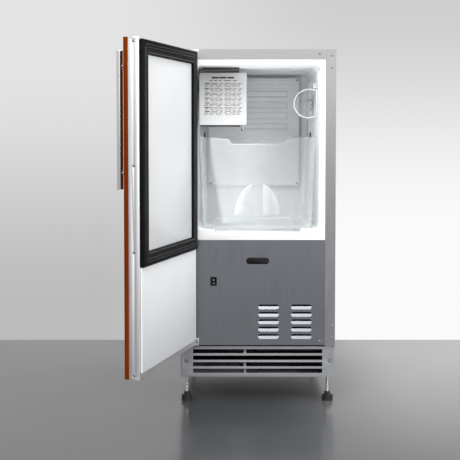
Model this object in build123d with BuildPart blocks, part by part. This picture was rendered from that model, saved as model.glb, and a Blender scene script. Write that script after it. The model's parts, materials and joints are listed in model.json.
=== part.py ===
from build123d import *
import os

# Built-in undercounter ice maker with an open, wood-faced door.
# Origin on the floor, under the middle of the cabinet's front flange. X to the right,
# Y into the depth of the cabinet, Z up. The door stands open at its rest angle.

# Cabinet
cabinet_width = 378
cabinet_height = 864
cabinet_depth = 550
underside = 65
sheet = 1.0
flange = 25
grille_top = 140
panel_low, panel_high = 144, 402
gap = 0.3

# Liner and its opening
opening_half = 150
opening_low, opening_high = 419.5, 824.5
liner_depth = 420
liner_wall = 2
corner_radius = 12
rail_inner, rail_high = 104, 427.5

# Door, measured from its pivot: s along the width, n towards the cabinet when closed
pivot_x, pivot_y = -173, -30
open_angle = 106
door_low, door_high = 148.3, 859.5
s_hinge, s_free = -16, 360.5
n_front, n_rear = -6, 18
wood_thickness = 10.4
gasket_width, gasket_depth = 29.5, 10
gasket_low, gasket_high = 384, 855
pin_radius = 3
fit = 0.05

# Ice bin
bin_low, bin_high = 427.8, 651.6
bin_front, bin_depth = 20, 305
bin_top_half, bin_low_half = 141.5, 133
bin_wall = 2.5

# Ice-making module
cover_left, cover_right = -145, -25
cover_low, cover_high = 682, 815
cover_front, cover_rear = 125, 158
axis_x, axis_z = -88, 772
mold_front, mold_rear = 175, 392
pocket_radius, pocket_count = 30, 8

# Fan, feet and fasteners
fan_x, fan_z = 77, 190
foot_x, foot_front_y, foot_rear_y = 174, 36, 514
stud_radius = 4
shank_radius, head_radius, head_height = 2, 2.6, 1.4
water_x, water_y = -88, 470

door_plane = Plane((pivot_x, pivot_y, 0)).rotated((0, 0, -open_angle))


def front(y):
    """Plane that faces the viewer at depth y: its axes are X and Z."""
    return Plane.XZ.offset(-y)


def side_on(x):
    """Plane across the cabinet at x: its axes are Y and Z."""
    return Plane.YZ.offset(x)


def level(z):
    """Horizontal plane at height z."""
    return Plane.XY.offset(z)


def door_level(z):
    """Horizontal plane at height z with its axes along the open door."""
    return door_plane.offset(z)


def door_face(n):
    """Plane along the open door at depth n, facing out of its front."""
    origin = door_plane.from_local_coords(Vector(0, n, 0))
    return Plane(origin, x_dir=door_plane.x_dir, z_dir=-door_plane.y_dir)


def block(x, y, z, mode=Mode.ADD):
    """A box between pairs of limits, in the part being built."""
    with Locations((sum(x) / 2, sum(y) / 2, sum(z) / 2)):
        Box(x[1] - x[0], y[1] - y[0], z[1] - z[0], mode=mode)


def rectangle(x, y, mode=Mode.ADD):
    """A rectangle between pairs of limits, in the sketch being built."""
    with Locations((sum(x) / 2, sum(y) / 2)):
        Rectangle(x[1] - x[0], y[1] - y[0], mode=mode)


def outline(*points):
    """A filled polygon in the sketch being built."""
    Polygon(*points, align=None)


def finish(piece, label):
    """Label a finished piece and write it as its own STEP file."""
    piece.part.label = label
    export_step(piece.part, f"parts/{label}.step")


# Screw places on the front of the cabinet, as X and Z
stile_screws = [(180, 848.7), (180, 820), (180.5, 192), (180.5, 161.4)]
rail_screw = (149.5, 853.5)
panel_screw = (151, 153.6)
grille_screw = (176, 104)
plate_screws = [(x, z) for x in (-121, 121) for z in (521, 809)]


# ---------------------------------------------------------------- cabinet


def side_panel(side):
    """An outer side sheet with its front flange, mitred to meet the top flange."""
    outer = side * cabinet_width / 2
    inner = outer - side * flange
    with BuildPart() as panel:
        with BuildSketch(side_on(outer)):
            outline(
                (0, grille_top + 1),
                (14, grille_top + 1),
                (14, underside),
                (cabinet_depth, underside),
                (cabinet_depth, cabinet_height),
                (0, cabinet_height),
            )
        extrude(amount=-side * sheet)
        with BuildSketch(front(0)):
            outline(
                (outer, grille_top + 1),
                (inner, grille_top + 1),
                (inner, cabinet_height - flange - gap),
                (outer, cabinet_height - gap),
            )
            with Locations(*[(side * x, z) for x, z in stile_screws]):
                Circle(shank_radius, mode=Mode.SUBTRACT)
        extrude(amount=-sheet)
    finish(panel, "left_side_panel" if side < 0 else "right_side_panel")


def top_panel():
    """The top sheet with its mitred front flange."""
    half = cabinet_width / 2
    with BuildPart() as panel:
        block(
            (sheet - half, half - sheet),
            (0, cabinet_depth),
            (cabinet_height - sheet, cabinet_height),
        )
        with BuildSketch(front(0)):
            outline(
                (flange - half, cabinet_height - flange),
                (half - flange, cabinet_height - flange),
                (half - sheet, cabinet_height - sheet),
                (sheet - half, cabinet_height - sheet),
            )
            with Locations(*[(side * rail_screw[0], rail_screw[1]) for side in (-1, 1)]):
                Circle(shank_radius, mode=Mode.SUBTRACT)
        extrude(amount=-sheet)
    finish(panel, "top_panel")


def back_panel():
    """The rear sheet, with air slots and the holes for water and power."""
    half = cabinet_width / 2 - sheet
    with BuildPart() as panel:
        with BuildSketch(front(cabinet_depth - sheet)):
            rectangle((-half, half), (underside + sheet + 0.5, cabinet_height - sheet))
            with Locations((20, 250)):
                with GridLocations(90, 14, 2, 8):
                    SlotOverall(70, 5, mode=Mode.SUBTRACT)
            with Locations((water_x, 118)):
                Circle(8, mode=Mode.SUBTRACT)
            with Locations((120, 110)):
                Circle(9, mode=Mode.SUBTRACT)
        extrude(amount=-sheet)
    finish(panel, "back_panel")


def base_pan():
    """The floor sheet, with a threaded boss over and a nut under each foot."""
    half = cabinet_width / 2 - sheet
    top = underside + 1.2
    with BuildPart() as pan:
        block((-half, half), (14.3, cabinet_depth - sheet), (underside, top))
        feet = [(x, y) for x in (-foot_x, foot_x) for y in (foot_front_y, foot_rear_y)]
        with BuildSketch(level(underside)):
            with Locations(*feet):
                RegularPolygon(8, 6)
        extrude(amount=-6)
        with BuildSketch(level(top)):
            with Locations(*feet):
                Circle(9)
        extrude(amount=8)
        with BuildSketch(level(underside - 6)):
            with Locations(*feet):
                Circle(stud_radius + fit)
        extrude(amount=20, mode=Mode.SUBTRACT)
    finish(pan, "base_pan")


def louvre_blade(width, height):
    """One pressed louvre, round at its lower corners, under the middle of its slot's top."""
    with BuildPart() as blade:
        with BuildSketch(side_on(-width / 2 - 1)):
            outline(
                (0.1, -height - 0.6),
                (1.1, -height - 0.6),
                (3.8, -5),
                (2.8, -5),
            )
        extrude(amount=width + 2)
        with BuildSketch(front(-1)):
            with Locations((0, -height / 2)):
                SlotOverall(width + 1.2, height + 1.2)
        extrude(amount=-6, mode=Mode.INTERSECT)
    return blade.part


def lower_front_panel():
    """The service panel under the liner, with two columns of pressed louvres."""
    half = cabinet_width / 2 - flange - gap
    first, pitch, height, width = 244, 18.2, 12, 50.7
    columns = (26.6, 106.7)
    slots = [(x, first - row * pitch) for x in columns for row in range(5)]
    with BuildPart() as panel:
        with BuildSketch(front(0)):
            rectangle((-half, half), (panel_low, panel_high - gap))
            with Locations(*[(x, top - height / 2) for x, top in slots]):
                SlotOverall(width, height, mode=Mode.SUBTRACT)
            with Locations((-107.4, 301)):
                Rectangle(13.6, 19.6, mode=Mode.SUBTRACT)
            with Locations(*[(side * panel_screw[0], panel_screw[1]) for side in (-1, 1)]):
                Circle(shank_radius, mode=Mode.SUBTRACT)
        extrude(amount=-sheet)
        with Locations(*[(x, 0, top) for x, top in slots]):
            add(louvre_blade(width, height))
    finish(panel, "lower_front_panel")


def kick_grille():
    """The toe grille: four slots between rounded bars, under a bright lip."""
    half, low = 187.5, 66
    first, pitch, slot, reach = 134, 16.1, 10.5, 158
    with BuildPart() as grille:
        block((-half, half), (0, 1.5), (low, grille_top))
        for row in range(4):
            top = first - row * pitch
            block((-reach, reach), (-1, 2), (top - slot, top), mode=Mode.SUBTRACT)
        for row in range(1, 4):
            bar_top = first - row * pitch + 5.6
            with BuildSketch(side_on(-reach)):
                outline((1.5, bar_top), (9, bar_top - 1), (9, bar_top - 2.4), (1.5, bar_top - 5))
            extrude(amount=2 * reach)
        block((-half, half), (-2, 12), (grille_top - 2, grille_top))
        block((-half, half), (1.5, 12), (low, low + 1.5))
        block((-34, -28), (9, 12), (low + 1.5, grille_top - 2))
        for side in (-1, 1):
            with BuildSketch(front(0)):
                with Locations((side * grille_screw[0], grille_screw[1])):
                    Circle(5.5)
            extrude(amount=-4)
            with BuildSketch(front(0)):
                with Locations((side * grille_screw[0], grille_screw[1])):
                    Circle(4.6)
            extrude(amount=-3, mode=Mode.SUBTRACT)
    finish(grille, "kick_grille")


def pan_screws(places, y, length):
    """Pan-head screws whose heads sit on the plane at y, in the part being built."""
    low = (Align.CENTER, Align.CENTER, Align.MIN)
    high = (Align.CENTER, Align.CENTER, Align.MAX)
    with Locations(*[front(y).location * Pos(x, z) for x, z in places]):
        Cone(head_radius, head_radius - 0.5, head_height, align=low)
        Cylinder(shank_radius, length, align=high)


def cabinet_screws():
    """All the pan-head screws on the cabinet: flanges, hinge, grille and cold plate."""
    with BuildPart() as screws:
        pan_screws(stile_screws + [rail_screw, panel_screw], 0, sheet)
        left = [(-x, z) for x, z in stile_screws[2:]] + [(-panel_screw[0], panel_screw[1])]
        pan_screws(left, -2.5, 2.5 + sheet)
        grille = [(side * grille_screw[0], grille_screw[1]) for side in (-1, 1)]
        with BuildSketch(front(3)):
            with Locations(*grille):
                Circle(head_radius)
        extrude(amount=head_height)
        with BuildSketch(front(398.5)):
            with Locations(*plate_screws):
                Circle(head_radius)
        extrude(amount=head_height)
    finish(screws, "cabinet_screws")


def liner():
    """The white cabinet liner: front flange, cavity, bin rails and wall ribs."""
    half = cabinet_width / 2 - flange - gap
    top = cabinet_height - flange - gap
    centre = (opening_low + opening_high) / 2
    size = (2 * opening_half, opening_high - opening_low)
    with BuildPart() as body:
        with BuildSketch(front(0)):
            rectangle((-half, half), (panel_high, top))
        extrude(amount=-liner_wall)
        with BuildSketch(front(0)):
            with Locations((0, centre)):
                RectangleRounded(
                    size[0] + 2 * liner_wall,
                    size[1] + 2 * liner_wall,
                    corner_radius + liner_wall,
                )
        extrude(amount=-liner_depth - liner_wall)
        with BuildSketch(front(0)):
            with Locations((0, centre)):
                RectangleRounded(*size, corner_radius)
        extrude(amount=-liner_depth, mode=Mode.SUBTRACT)
        for side in (-1, 1):
            with BuildSketch(front(0)):
                outline(
                    (side * rail_inner, opening_low - 0.4),
                    (side * (opening_half - 6), opening_low - 0.4),
                    (side * (opening_half + 0.4), opening_low + 6),
                    (side * (opening_half + 0.4), rail_high + 12),
                    (side * (opening_half - 3.5), rail_high + 3.5),
                    (side * (opening_half - 12), rail_high),
                    (side * (rail_inner + 4), rail_high),
                )
            extrude(amount=-liner_depth)
            for y in (250, 300, 350):
                block(
                    (side * opening_half - 1.5, side * opening_half + 1.5),
                    (y - 2, y + 2),
                    (450, 800),
                )
        with BuildSketch(front(liner_depth - 1)):
            with Locations((water_x, 797)):
                Circle(4.3)
        extrude(amount=-10, mode=Mode.SUBTRACT)
    finish(body, "liner")


def insulation():
    """The foam around the liner, with the channel that the water line runs in."""
    half = cabinet_width / 2 - sheet - gap
    start = liner_wall + gap
    with BuildPart() as foam:
        block((-half, half), (start, cabinet_depth - sheet - gap), (399.6, 862.7))
        with BuildSketch(front(start)):
            with Locations((0, (opening_low + opening_high) / 2)):
                RectangleRounded(304.6, 409.6, corner_radius + liner_wall)
        extrude(amount=-(liner_depth + gap), mode=Mode.SUBTRACT)
        with BuildSketch(level(399)):
            with Locations((water_x, water_y)):
                Rectangle(14, 14)
        extrude(amount=410, mode=Mode.SUBTRACT)
        block((water_x - 7, water_x + 7), (420, water_y + 7), (790, 809), mode=Mode.SUBTRACT)
    finish(foam, "insulation")


def compartment_deck():
    """The sheet between the machine compartment and the foam."""
    half = cabinet_width / 2 - sheet - gap
    with BuildPart() as deck:
        with BuildSketch(level(397.8)):
            rectangle((-half, half), (2.3, cabinet_depth - sheet - gap))
            with Locations((water_x, water_y)):
                Circle(4.3, mode=Mode.SUBTRACT)
        extrude(amount=1.2)
    finish(deck, "compartment_deck")


# ---------------------------------------------------------------- hinges


def hinge_bracket(label, low, high, arm, tongue, thickness, screws):
    """An L-shaped hinge plate on the front flange, with a tongue over the door's pivot."""
    with BuildPart() as bracket:
        with BuildSketch(front(0)):
            rectangle((-188, -172.5), (low, high))
            rectangle((-188, -143.5), arm)
            with Locations(*screws):
                Circle(shank_radius, mode=Mode.SUBTRACT)
        extrude(amount=thickness)
        with BuildSketch(level(tongue[0])):
            rectangle((-188, -162), (pivot_y - 3, 0))
            with Locations((pivot_x - 2, pivot_y - 3)):
                Circle(11)
            with Locations((pivot_x, pivot_y)):
                Circle(pin_radius, mode=Mode.SUBTRACT)
        extrude(amount=tongue[1] - tongue[0])
    finish(bracket, label)


def hinge_pins():
    """The two pivot pins, each riveted in a tongue, with a thrust washer."""
    with BuildPart() as pins:
        for low, high in ((143, 162), (846, 863.4)):
            with BuildSketch(level(low)):
                with Locations((pivot_x, pivot_y)):
                    Circle(pin_radius)
            extrude(amount=high - low)
        for z in (146.5, 859.8):
            with BuildSketch(level(z)):
                with Locations((pivot_x, pivot_y)):
                    Circle(7)
            extrude(amount=1.2)
    finish(pins, "hinge_pins")


# ---------------------------------------------------------------- controls on the front


def switch_bezel():
    """The switch housing with its collar on the panel."""
    with BuildPart() as bezel:
        with BuildSketch(front(0)):
            with Locations((-107.4, 301)):
                RectangleRounded(16, 22, 2)
        extrude(amount=1.4)
        with BuildSketch(front(0)):
            with Locations((-107.4, 301)):
                Rectangle(13.4, 19.4)
        extrude(amount=-22)
        block((-112.9, -101.9), (-3, 16), (301 - 8.7, 301 + 8.7), mode=Mode.SUBTRACT)
    finish(bezel, "switch_bezel")


def power_rocker():
    """The rocker, pressed on at its lower half; it turns about its own middle."""
    with BuildPart() as rocker:
        inward = Vector(0, 1, 0).rotate(Axis.X, 8)
        with BuildSketch(Plane((-107.4, 5, 301), x_dir=inward, z_dir=(1, 0, 0))):
            outline((-7, -7.4), (-5.2, 0), (-7, 7.4), (3, 7.4), (3, -7.4))
        extrude(amount=5.1, both=True)
    finish(rocker, "power_rocker")


def front_badge():
    """A plain oval badge on the service panel."""
    with BuildPart() as badge:
        with BuildSketch(front(0)):
            with Locations((0, 351)):
                SlotOverall(56, 16)
        extrude(amount=0.8)
    finish(badge, "front_badge")


# ---------------------------------------------------------------- ice-making module


def pocket_middles():
    """The depths of the middles of the mold's pockets."""
    inner = mold_rear - mold_front - 6
    pitch = inner / pocket_count
    return [mold_front + 3 + pitch * (i + 0.5) for i in range(pocket_count)]


def ice_mold():
    """The cast mold: a trough of crescent pockets between bearing ends, on wall tabs."""
    with BuildPart() as mold:
        with BuildSketch(front(mold_front)):
            with Locations((axis_x, axis_z)):
                Circle(pocket_radius + 4)
            rectangle((axis_x - 40, axis_x + 40), (axis_z, axis_z + 40), mode=Mode.SUBTRACT)
            rectangle((axis_x - 40, axis_x + 40), (axis_z - 4, axis_z + 4))
        extrude(amount=-(mold_rear - mold_front))
        for y in pocket_middles():
            with BuildSketch(front(y - 12)):
                with Locations((axis_x, axis_z)):
                    Circle(pocket_radius)
                rectangle((axis_x - 30, axis_x + 30), (axis_z, axis_z + 10))
            extrude(amount=-24, mode=Mode.SUBTRACT)
        block(
            (axis_x - 7, axis_x + 7),
            (mold_front + 3, mold_rear - 3),
            (axis_z - 7, axis_z + 5),
            mode=Mode.SUBTRACT,
        )
        for y in (mold_front, mold_rear - 3):
            with BuildSketch(front(y)):
                with Locations((axis_x, axis_z)):
                    Circle(11)
            extrude(amount=-3)
        with BuildSketch(front(mold_front - 1)):
            with Locations((axis_x, axis_z)):
                Circle(5 + fit)
        extrude(amount=-(mold_rear - mold_front + 2), mode=Mode.SUBTRACT)
        for y in (225, 325):
            block((-opening_half, axis_x - 39), (y - 12, y + 12), (axis_z, axis_z + 3))
            block((-opening_half, -opening_half + 2), (y - 12, y + 12), (axis_z, axis_z + 26))
    finish(mold, "ice_mold")


def stripper():
    """The slotted plate that lifts ice off the fingers."""
    with BuildPart() as plate:
        block((axis_x + 8, axis_x + 44), (mold_front + 3, mold_rear - 3), (axis_z + 4, axis_z + 6.5))
        for y in pocket_middles():
            block(
                (axis_x, axis_x + 30),
                (y - 4, y + 4),
                (axis_z, axis_z + 10),
                mode=Mode.SUBTRACT,
            )
    finish(plate, "stripper")


def ejector():
    """The turning shaft with one finger for each pocket."""
    with BuildPart() as shaft:
        with BuildSketch(front(152)):
            with Locations((axis_x, axis_z)):
                Circle(5)
        extrude(amount=-(mold_rear - 152))
        for y in pocket_middles():
            finger = front(y - 2.5)
            with BuildSketch(Plane((axis_x, finger.origin.Y, axis_z), (1, 0, 0), (0, -1, 0))):
                with Locations(Rotation(0, 0, 120)):
                    with Locations((13, 0)):
                        SlotOverall(26, 7)
            extrude(amount=-5)
    finish(shaft, "ejector")


def gearcase():
    """The drive housing under the cover, with its foot and its hanger on the ceiling."""
    left, right = cover_left + 2.3, cover_right - 2.3
    with BuildPart() as case:
        block((left, right), (127, mold_front), (cover_low + 2.3, 812))
        block((left, -41), (130, mold_front), (cover_low - 4.5, cover_low - gap))
        block((left, -41), (cover_rear + gap, mold_front), (cover_low - 4.5, cover_low + 3))
        with BuildSketch(front(64)):
            outline(
                (-133, 824.2),
                (-44, 824.2),
                (-44, 817),
                (-128, 817),
                (-128, cover_high + 0.6),
                (-143, cover_high + 0.6),
            )
        extrude(amount=64 - mold_front)
        block((-133, -44), (cover_rear + gap, mold_front), (811, 820))
        with BuildSketch(front(150)):
            with Locations((axis_x, axis_z)):
                Circle(5 + fit)
        extrude(amount=-40, mode=Mode.SUBTRACT)
        with BuildSketch(front(160)):
            with Locations((-38, 742)):
                Circle(1.6 + fit)
        extrude(amount=-40, mode=Mode.SUBTRACT)
    finish(case, "gearcase")


def module_cover():
    """The thin cover over the drive housing."""
    with BuildPart() as cover:
        block((cover_left, cover_right), (cover_front, cover_rear), (cover_low, cover_high))
        fillet(cover.edges().filter_by(Axis.Y), 4)
        fillet(cover.faces().sort_by(Axis.Y)[0].edges(), 1.5)
        block(
            (cover_left + 2, cover_right - 2),
            (cover_front + 1.8, cover_rear + 2),
            (cover_low + 2, cover_high - 2),
            mode=Mode.SUBTRACT,
        )
    finish(cover, "module_cover")


def instruction_label():
    """The paper label on the cover."""
    with BuildPart() as label:
        block((-138, -32), (cover_front - 0.3, cover_front), (705, 809))
    finish(label, "instruction_label")


def fill_cup():
    """The cup behind the mold that leads water into it."""
    with BuildPart() as cup:
        block((axis_x - 16, axis_x + 16), (mold_rear, 414), (784, 812))
        block((axis_x - 14, axis_x + 14), (mold_rear - 1, 412), (786, 813), mode=Mode.SUBTRACT)
        with BuildSketch(front(411)):
            with Locations((water_x, 797)):
                Circle(4.3)
        extrude(amount=-4, mode=Mode.SUBTRACT)
    finish(cup, "fill_cup")


def shutoff_arm():
    """The wire arm that feels how full the bin is."""
    wire, drop = 1.6, 74
    with BuildPart() as arm:
        with BuildLine() as route:
            FilletPolyline(
                (-38, 162, 742),
                (-38, 190, 742),
                (-34, 196, 742 - drop),
                (-34, 360, 742 - drop),
                (-34, 372, 742 - 20),
                radius=6,
            )
        with BuildSketch(Plane(route.wire() @ 0, z_dir=route.wire() % 0)):
            Circle(wire)
        sweep()
    finish(arm, "shutoff_arm")


def water_line():
    """The tube from the valve up through the foam channel to the fill cup."""
    with BuildPart() as tube:
        with BuildLine() as route:
            FilletPolyline(
                (water_x, water_y, 140),
                (water_x, water_y, 797),
                (water_x, 408, 797),
                radius=12,
            )
        with BuildSketch(level(140)):
            with Locations((water_x, water_y)):
                Circle(4)
        sweep()
    finish(tube, "water_line")


def evaporator_plate():
    """The cold plate on stand-offs at the back of the liner."""
    with BuildPart() as plate:
        with BuildSketch(front(398.5)):
            with Locations((0, 665)):
                RectangleRounded(254, 300, 3)
            rectangle((water_x - 20, water_x + 20), (780, 820), mode=Mode.SUBTRACT)
        extrude(amount=-1.5)
        with BuildSketch(front(400)):
            with Locations(*plate_screws):
                Circle(5)
        extrude(amount=-(liner_depth - 400))
    finish(plate, "evaporator_plate")


# ---------------------------------------------------------------- scoop and bin


def scoop_holder():
    """The wall bracket: two jaws that the scoop's handle slides between."""
    with BuildPart() as holder:
        block((147.6, opening_half), (155, 215), (712, 758))
        block((128, 148), (160, 210), (745.5, 749))
        block((128, 148), (160, 210), (721, 724.5))
        with BuildSketch(side_on(139)):
            outline((62, 773), (78, 773), (78, 786), (70, 786))
        extrude(amount=opening_half - 139)
    finish(holder, "scoop_holder")


def d_profile(radius):
    """The scoop's section: a circle cut flat towards the wall, in the sketch being built."""
    with Locations((129, 735)):
        Circle(radius)
    rectangle((111 + radius, 200), (600, 900), mode=Mode.SUBTRACT)


def ice_scoop():
    """The clear scoop, open to the front, with its handle to the rear."""
    with BuildPart() as scoop:
        with BuildSketch(front(56)):
            d_profile(36.6)
        extrude(amount=-84)
        with BuildSketch(front(50)):
            d_profile(34.6)
        extrude(amount=-88, mode=Mode.SUBTRACT)
        with BuildSketch(level(600)):
            outline((60, 40), (155, 40), (145, 58), (92, 92), (60, 92))
        extrude(amount=300, mode=Mode.SUBTRACT)
        block((131, 144), (138, 232), (725, 745))
    finish(scoop, "ice_scoop")


def tub_body(floor, inset):
    """The drafted body of the bin from floor to rim, taken in by inset all round."""
    with BuildPart() as body:
        for z, half, radius in ((floor, bin_low_half, 18), (bin_high, bin_top_half, 14)):
            with BuildSketch(level(z)):
                with Locations((0, bin_front + bin_depth / 2)):
                    RectangleRounded(2 * (half - inset), bin_depth - 2 * inset, radius - inset)
        loft()
        fillet(body.faces().sort_by(Axis.Z)[0].edges(), 10 - inset)
    return body.part


def bulge(width, height, depth):
    """Half an ellipsoid on the bin's front wall, standing on a flat ledge."""
    ball = scale(Sphere(1, mode=Mode.PRIVATE), by=(width, depth, height), mode=Mode.PRIVATE)
    keep = Pos(0, 0, height) * Box(4 * width, 4 * depth, 2 * height, mode=Mode.PRIVATE)
    return Pos(0, 26, 461) * (ball & keep)


def ice_bin():
    """The clear tub: drafted walls, dipped front rim and an arched pull."""
    grip = bulge(56.5, 78, 14)
    hollow = bulge(54.5, 76, 12)
    inside = tub_body(bin_low + bin_wall, bin_wall)
    with BuildPart() as tub:
        add(tub_body(bin_low, 0))
        add(grip)
        add(inside, mode=Mode.SUBTRACT)
        add(hollow, mode=Mode.SUBTRACT)
        with BuildSketch(level(bin_high - 2.5)):
            with Locations((0, bin_front + bin_depth / 2)):
                RectangleRounded(2 * bin_top_half + 4, bin_depth + 4, 16)
                RectangleRounded(2 * bin_top_half - 4, bin_depth - 4, 12, mode=Mode.SUBTRACT)
        extrude(amount=2.5)
        with BuildSketch(front(0)):
            outline(
                (-bin_top_half - 3, 653),
                (-72, 645),
                (-64, 634),
                (64, 634),
                (72, 645),
                (bin_top_half + 3, 653),
            )
        extrude(amount=-40, mode=Mode.SUBTRACT)
    finish(tub, "ice_bin")


def bin_stop_pins():
    """Two rubber pins on the corners of the bin's front rim."""
    with BuildPart() as pins:
        with BuildSketch(level(bin_high)):
            with Locations((-129, 20.3), (129, 20.3)):
                Circle(2)
        extrude(amount=12)
    finish(pins, "bin_stop_pins")


# ---------------------------------------------------------------- machine compartment


def compressor():
    """The hermetic compressor on its base plate, with the terminal cover."""
    with BuildPart() as can:
        with BuildSketch(level(82.5)):
            with Locations((80, 400)):
                Circle(62)
        extrude(amount=160)
        fillet(can.edges().filter_by(GeomType.CIRCLE), 24)
        block((0, 160), (345, 455), (80, 83.5))
        with BuildSketch(level(70)):
            with Locations((80, 400)):
                with GridLocations(136, 90, 2, 2):
                    Circle(4.2)
        extrude(amount=30, mode=Mode.SUBTRACT)
        block((-8, 24), (375, 425), (120, 185))
    finish(can, "compressor")


def compressor_grommets():
    """The four rubber feet under the compressor."""
    with BuildPart() as grommets:
        with BuildSketch(level(66.2)):
            with Locations((80, 400)):
                with GridLocations(136, 90, 2, 2):
                    Circle(9)
        extrude(amount=13.8)
        with BuildSketch(level(80)):
            with Locations((80, 400)):
                with GridLocations(136, 90, 2, 2):
                    Circle(4.2)
        extrude(amount=6)
    finish(grommets, "compressor_grommets")


def condenser():
    """The finned condenser behind the louvres."""
    with BuildPart() as coil:
        for x in range(2, 153, 6):
            block((x, x + 0.6), (26, 70), (84, 300))
        for z in range(100, 300, 24):
            for y in (37, 59):
                with BuildSketch(side_on(0)):
                    with Locations((y, z)):
                        Circle(4)
                extrude(amount=154)
        for x in (0, 152.8):
            block((x, x + 1.2), (22, 74), (66.2, 304))
    finish(coil, "condenser")


def fan_shroud():
    """The plate and ring around the fan."""
    with BuildPart() as shroud:
        with BuildSketch(front(90)):
            rectangle((0, 154), (66.2, 304))
        extrude(amount=-2)
        with BuildSketch(front(90)):
            with Locations((fan_x, fan_z)):
                Circle(68)
        extrude(amount=-30)
        with BuildSketch(front(80)):
            with Locations((fan_x, fan_z)):
                Circle(66)
        extrude(amount=-60, mode=Mode.SUBTRACT)
        with BuildSketch(front(120)):
            rectangle((fan_x - 68, fan_x + 68), (fan_z - 5, fan_z + 5))
            with Locations((fan_x, fan_z)):
                Circle(pin_radius + 1, mode=Mode.SUBTRACT)
        extrude(amount=-2)
    finish(shroud, "fan_shroud")


def fan_motor():
    """The fan motor on the strut behind the ring."""
    with BuildPart() as motor:
        with BuildSketch(front(122)):
            with Locations((fan_x, fan_z)):
                Circle(24)
        extrude(amount=-40)
        fillet(motor.faces().sort_by(Axis.Y)[-1].edges(), 6)
        with BuildSketch(front(122)):
            with Locations((fan_x, fan_z)):
                Circle(pin_radius + fit)
        extrude(amount=-4, mode=Mode.SUBTRACT)
    finish(motor, "fan_motor")


def fan_blade():
    """The turning fan: a hub with its shaft and five pitched blades."""
    with BuildPart() as fan:
        with BuildSketch(front(110)):
            with Locations((fan_x, fan_z)):
                Circle(pin_radius)
        extrude(amount=-16)
        with BuildSketch(front(98)):
            with Locations((fan_x, fan_z)):
                Circle(14)
        extrude(amount=-18)
        for i in range(5):
            radial = Vector(1, 0, 0).rotate(Axis.Y, 72 * i)
            facing = Vector(0, -1, 0).rotate(Axis((0, 0, 0), radial), 28)
            with BuildSketch(Plane((fan_x, 107, fan_z), x_dir=radial, z_dir=facing)):
                with Locations((36, 0)):
                    RectangleRounded(46, 30, 8)
            extrude(amount=0.9, both=True)
    finish(fan, "fan_blade")


def filter_drier():
    """The drier in the liquid line."""
    with BuildPart() as drier:
        with BuildSketch(Plane.XZ.offset(-300)):
            outline((-20, 120), (-16, 120), (-10, 132), (-10, 198), (-16, 210), (-20, 210))
        revolve(axis=Axis((-20, 300, 0), (0, 0, 1)))
    finish(drier, "filter_drier")


def refrigerant_lines():
    """The copper lines of the compartment, each on one rounded route."""
    routes = [
        [(80, 400, 242.5), (80, 400, 270), (80, 270, 270), (170, 270, 270), (170, 37, 270), (158, 37, 270)],
        [(154, 59, 100), (168, 59, 100), (168, 250, 100), (-20, 250, 100), (-20, 300, 100), (-20, 300, 120)],
        [(-20, 300, 210), (-20, 300, 397.8)],
        [(112, 400, 242.5), (112, 400, 320), (60, 440, 320), (60, 440, 397.8)],
    ]
    with BuildPart() as lines:
        for points in routes:
            with BuildLine() as route:
                if len(points) > 2:
                    FilletPolyline(*points, radius=8)
                else:
                    Line(*points)
            with BuildSketch(Plane(route.wire() @ 0, z_dir=route.wire() % 0)):
                Circle(3)
            sweep(path=route.wire())
    finish(lines, "refrigerant_lines")


def water_valve():
    """The inlet valve: a body with a solenoid and a threaded stub through the back."""
    with BuildPart() as valve:
        block((water_x - 22, water_x + 22), (452, 530), (98, 140))
        for start, end, radius in ((530, 551, 7.5), (551, 562, 6.6)):
            with BuildSketch(front(start)):
                with Locations((water_x, 118)):
                    Circle(radius)
            extrude(amount=start - end)
        with BuildSketch(level(98)):
            with Locations((water_x, 505)):
                Circle(14)
        extrude(amount=-20)
        block((water_x - 22, water_x + 22), (452, 456), (66.2, 98))
    finish(valve, "water_valve")


def control_box():
    """The closed electrical box on the left side."""
    with BuildPart() as box:
        block((-188, -70), (28, 110), (250, 350))
        fillet(box.edges().filter_by(Axis.Z), 2)
    finish(box, "control_box")


def power_gland():
    """The strain-relief gland in the back, with an open bore."""
    with BuildPart() as gland:
        with BuildSketch(front(538)):
            with Locations((120, 110)):
                Circle(9)
        extrude(amount=-20)
        with BuildSketch(front(cabinet_depth)):
            with Locations((120, 110)):
                Circle(12)
        extrude(amount=-3)
        with BuildSketch(front(530)):
            with Locations((120, 110)):
                Circle(3.6)
        extrude(amount=-40, mode=Mode.SUBTRACT)
    finish(gland, "power_gland")


# ---------------------------------------------------------------- feet


def foot(corner, x, y):
    """One levelling foot: a winged pad and its threaded stud."""
    with BuildPart() as pad:
        with BuildSketch(level(0)):
            with Locations((x, y)):
                Circle(14)
        extrude(amount=5)
        with BuildSketch(level(5)):
            with Locations((x, y)):
                Circle(10)
                Rectangle(27, 5)
                Rectangle(5, 27)
        extrude(amount=8.7)
        with BuildSketch(level(13.7)):
            with Locations((x, y)):
                Circle(7.5)
        extrude(amount=7.5)
        with BuildSketch(level(10)):
            with Locations((x, y)):
                Circle(stud_radius)
        extrude(amount=20, mode=Mode.SUBTRACT)
    finish(pad, f"foot_pad_{corner}")
    with BuildPart() as stud:
        with BuildSketch(level(10)):
            with Locations((x, y)):
                Circle(stud_radius)
        extrude(amount=88)
    finish(stud, f"foot_stud_{corner}")


# ---------------------------------------------------------------- door


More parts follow.
